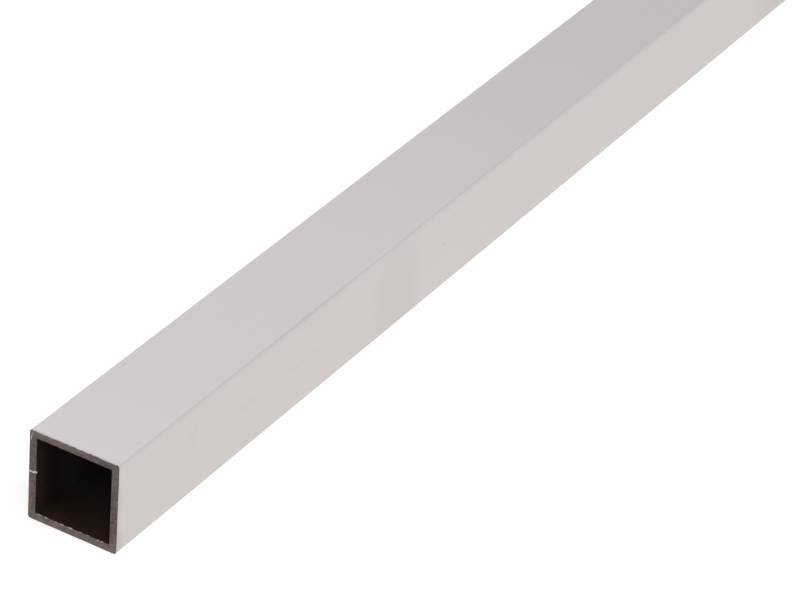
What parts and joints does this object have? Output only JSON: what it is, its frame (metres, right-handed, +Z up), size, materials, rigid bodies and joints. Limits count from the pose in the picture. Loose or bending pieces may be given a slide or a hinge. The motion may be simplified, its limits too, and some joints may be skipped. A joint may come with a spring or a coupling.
{
  "type": "square metal tube",
  "caption": "Straight length of square hollow section in satin aluminium, thin-walled, open through, sawn square at both ends.",
  "frame": {"origin": "on the underside, midway between the two sawn ends and midway across the width", "axes": "+X along the tube from the end nearest the picture's camera to the other, +Y across it, +Z up from the flat side that it lies on"},
  "size_m": [1, 0.025, 0.025],
  "materials": {
    "satin_aluminium": "fine satin, pale warm grey, with bare darker metal on the sawn ends and a dark bore"
  },
  "bodies": {
    "root": {"square_tube": "satin_aluminium"}
  },
  "joints": []
}
